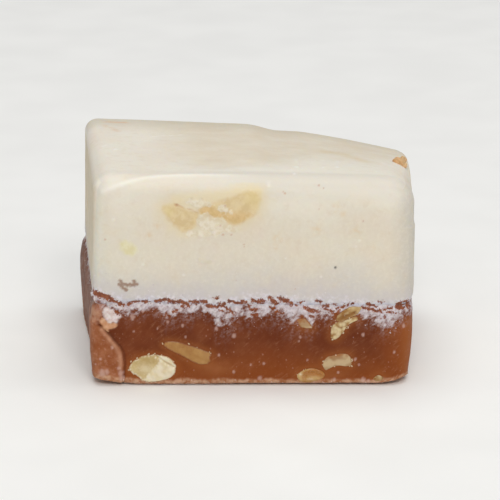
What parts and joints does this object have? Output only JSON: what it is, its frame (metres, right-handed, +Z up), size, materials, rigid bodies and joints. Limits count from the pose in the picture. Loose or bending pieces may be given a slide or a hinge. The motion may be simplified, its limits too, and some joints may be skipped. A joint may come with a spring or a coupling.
{
  "type": "two-layer nut fudge cube",
  "caption": "Hand-cut cube of fudge in two layers, vanilla on chocolate, with soft rounded edges and chopped peanut pieces set in the cut front face.",
  "frame": {"origin": "middle of the flat base on the surface that the cube stands on, under the centre of its box", "axes": "+X to the right along the cut front face, which is the cube's longest way, +Y from the front face to the back, +Z up"},
  "size_m": [0.0404, 0.029, 0.0246],
  "materials": {
    "vanilla_fudge": "smooth waxy satin, slightly translucent",
    "chocolate_fudge": "smooth satin with fine pale specks",
    "pale_nut": "matt, fine crumbly cut",
    "tan_nut": "satin, oily cut",
    "golden_nut": "matt, crumbly cut"
  },
  "bodies": {
    "root": {"vanilla_layer": "vanilla_fudge", "chocolate_layer": "chocolate_fudge", "nut_pale_half": "pale_nut", "nut_tan_sliver": "tan_nut", "nut_pale_chip": "pale_nut", "nut_golden_piece": "golden_nut", "nut_tan_block": "golden_nut", "nut_amber_piece": "tan_nut", "nut_low_chip": "golden_nut", "peanut_left_lobe": "pale_nut", "peanut_right_lobe": "pale_nut", "nut_lemon_chip": "pale_nut", "nut_corner_crumb": "tan_nut"}
  },
  "joints": []
}
